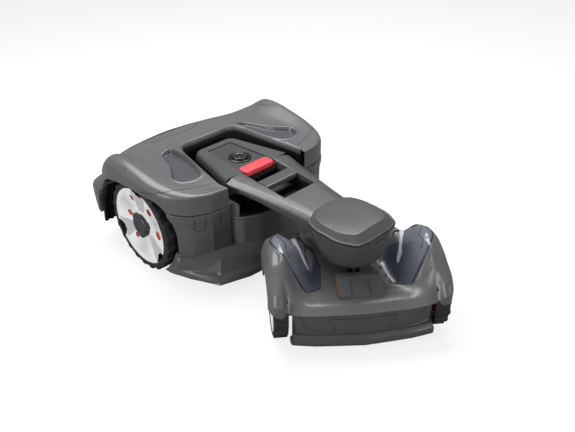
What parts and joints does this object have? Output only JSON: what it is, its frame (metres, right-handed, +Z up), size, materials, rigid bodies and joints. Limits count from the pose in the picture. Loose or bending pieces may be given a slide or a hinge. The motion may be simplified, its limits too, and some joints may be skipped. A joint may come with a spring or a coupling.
{
  "type": "robotic lawn mower",
  "caption": "Low four-wheeled robotic mower with a U-shaped rear cover, a carry arm over a swivelling front body with fenders and bumper, and a cutting disc under its deck.",
  "frame": {"origin": "on the lawn, under the middle of the overall bounding box", "axes": "+Z up; -Y the way the rear body drives; +X the mower's left side"},
  "size_m": [0.554, 0.9452, 0.2832],
  "materials": {
    "cover": "fine-grained grey moulding",
    "body": "fine-grained grey moulding",
    "arm": "fine-grained grey moulding",
    "panel": "dark matt panel",
    "bumper": "dark soft-touch plastic",
    "black": "black plastic",
    "black_gloss": "black plastic, half gloss",
    "stop_red": "red plastic",
    "smoke": "smoked clear plastic",
    "guide": "frosted clear plastic",
    "copper": "bare copper alloy",
    "tyre": "black rubber",
    "silver": "silver-painted plastic",
    "orange": "orange plastic",
    "cap": "dark grey plastic",
    "steel": "turned steel",
    "motor": "coated motor housing",
    "battery": "wrapped battery pack",
    "board": "green circuit board"
  },
  "bodies": {
    "rear_unit": {"rear_body": "body", "deck_skirt": "body", "belly_pan": "black", "arch_liner_left": "black", "arch_liner_right": "black", "console_housing": "arm", "control_panel": "panel", "dial_ring": "black_gloss", "arm_moulding": "arm", "carry_bar": "arm", "grip_tub": "black", "head_cap": "arm", "battery": "battery", "circuit_board": "board", "steer_bearing": "steel", "steer_motor": "motor", "hub_motor_rear_left": "motor", "hub_motor_rear_right": "motor"},
    "cover": {"top_cover": "cover"},
    "dial_stem": {"dial_shaft": "black"},
    "dial": {"dial_knob": "black_gloss"},
    "stop": {"stop_button": "stop_red"},
    "rear_left_wheel": {"tyre_rear_left": "tyre", "disc_rear_left": "silver", "insert_ring_rear_left": "orange", "hub_cap_rear_left": "cap"},
    "rear_right_wheel": {"tyre_rear_right": "tyre", "disc_rear_right": "silver", "insert_ring_rear_right": "orange", "hub_cap_rear_right": "cap"},
    "carriage": {"cutter_motor": "motor"},
    "screw": {"height_screw": "steel"},
    "disc": {"cutting_disc": "black"},
    "blade_a": {"blade_1": "steel"},
    "blade_b": {"blade_2": "steel"},
    "blade_c": {"blade_3": "steel"},
    "skid": {"skid_plate": "black"},
    "swivel": {"swivel_shaft": "steel"},
    "front_unit": {"roll_pin": "steel", "front_chassis": "black", "front_shell": "cover", "lens_right": "smoke", "lens_left": "smoke", "light_guide_right": "guide", "light_guide_left": "guide", "charge_block": "bumper", "contact_right": "copper", "contact_left": "copper", "hub_motor_front_left": "motor", "hub_motor_front_right": "motor"},
    "front_bumper": {"bumper": "bumper", "bumper_plate": "bumper"},
    "front_left_wheel": {"tyre_front_left": "tyre", "disc_front_left": "silver", "insert_ring_front_left": "orange", "hub_cap_front_left": "cap"},
    "front_right_wheel": {"tyre_front_right": "tyre", "disc_front_right": "silver", "insert_ring_front_right": "orange", "hub_cap_front_right": "cap"}
  },
  "joints": [
    {"name": "rear_left_spin", "type": "hinge", "parent": "rear_unit", "child": "rear_left_wheel", "pos_m": [0.2405, 0.2199, 0.119], "axis": [1, 0, 0], "continuous": true},
    {"name": "rear_right_spin", "type": "hinge", "parent": "rear_unit", "child": "rear_right_wheel", "pos_m": [-0.2405, 0.2199, 0.119], "axis": [1, 0, 0], "continuous": true},
    {"name": "cover_lift", "type": "slide", "parent": "rear_unit", "child": "cover", "axis": [0, 0, 1], "range_m": [0, 0.006]},
    {"name": "dial_press", "type": "slide", "parent": "rear_unit", "child": "dial_stem", "axis": [0, 0, -1], "range_m": [0, 0.0015], "stiffness_N_per_m": 800},
    {"name": "dial_turn", "type": "hinge", "parent": "dial_stem", "child": "dial", "pos_m": [0, 0.1359, 0.245], "axis": [0, 0, 1], "continuous": true},
    {"name": "stop_press", "type": "slide", "parent": "rear_unit", "child": "stop", "axis": [0, 0, -1], "range_m": [0, 0.004], "stiffness_N_per_m": 1200},
    {"name": "cutter_height", "type": "slide", "parent": "rear_unit", "child": "carriage", "axis": [0, 0, 1], "range_m": [0, 0.04]},
    {"name": "height_screw_turn", "type": "hinge", "parent": "rear_unit", "child": "screw", "pos_m": [0.062, 0.1259, 0.12], "axis": [0, 0, 1], "range_deg": [-1, 3605]},
    {"name": "disc_spin", "type": "hinge", "parent": "carriage", "child": "disc", "pos_m": [0, 0.1259, 0.036], "axis": [0, 0, 1], "continuous": true},
    {"name": "blade_a_swing", "type": "hinge", "parent": "disc", "child": "blade_a", "pos_m": [0.072, 0.1259, 0.032], "axis": [0, 0, 1], "range_deg": [-75, 75]},
    {"name": "blade_b_swing", "type": "hinge", "parent": "disc", "child": "blade_b", "pos_m": [-0.036, 0.18825, 0.032], "axis": [0, 0, 1], "range_deg": [-75, 75]},
    {"name": "blade_c_swing", "type": "hinge", "parent": "disc", "child": "blade_c", "pos_m": [-0.036, 0.06355, 0.032], "axis": [0, 0, 1], "range_deg": [-75, 75]},
    {"name": "skid_spin", "type": "hinge", "parent": "carriage", "child": "skid", "pos_m": [0, 0.1259, 0.026], "axis": [0, 0, 1], "continuous": true},
    {"name": "steer", "type": "hinge", "parent": "rear_unit", "child": "swivel", "pos_m": [0, -0.2381, 0.16], "axis": [0, 0, 1], "range_deg": [-4, 79.6]},
    {"name": "front_roll", "type": "hinge", "parent": "swivel", "child": "front_unit", "pos_m": [0, -0.2381, 0.122], "axis": [-0.6129, -0.7902, 0], "range_deg": [-10, 10]},
    {"name": "bumper_push", "type": "slide", "parent": "front_unit", "child": "front_bumper", "axis": [0.6129, 0.7902, 0], "range_m": [0, 0.004], "stiffness_N_per_m": 3000},
    {"name": "front_left_spin", "type": "hinge", "parent": "front_unit", "child": "front_left_wheel", "pos_m": [0.09234, -0.4054, 0.075], "axis": [0.7902, -0.6129, 0], "continuous": true},
    {"name": "front_right_spin", "type": "hinge", "parent": "front_unit", "child": "front_right_wheel", "pos_m": [-0.18502, -0.19025, 0.075], "axis": [0.7902, -0.6129, 0], "continuous": true}
  ],
  "couplings": [
    {"joint": "height_screw_turn", "follows": "cutter_height", "rad_per_m": 1570.8}
  ]
}
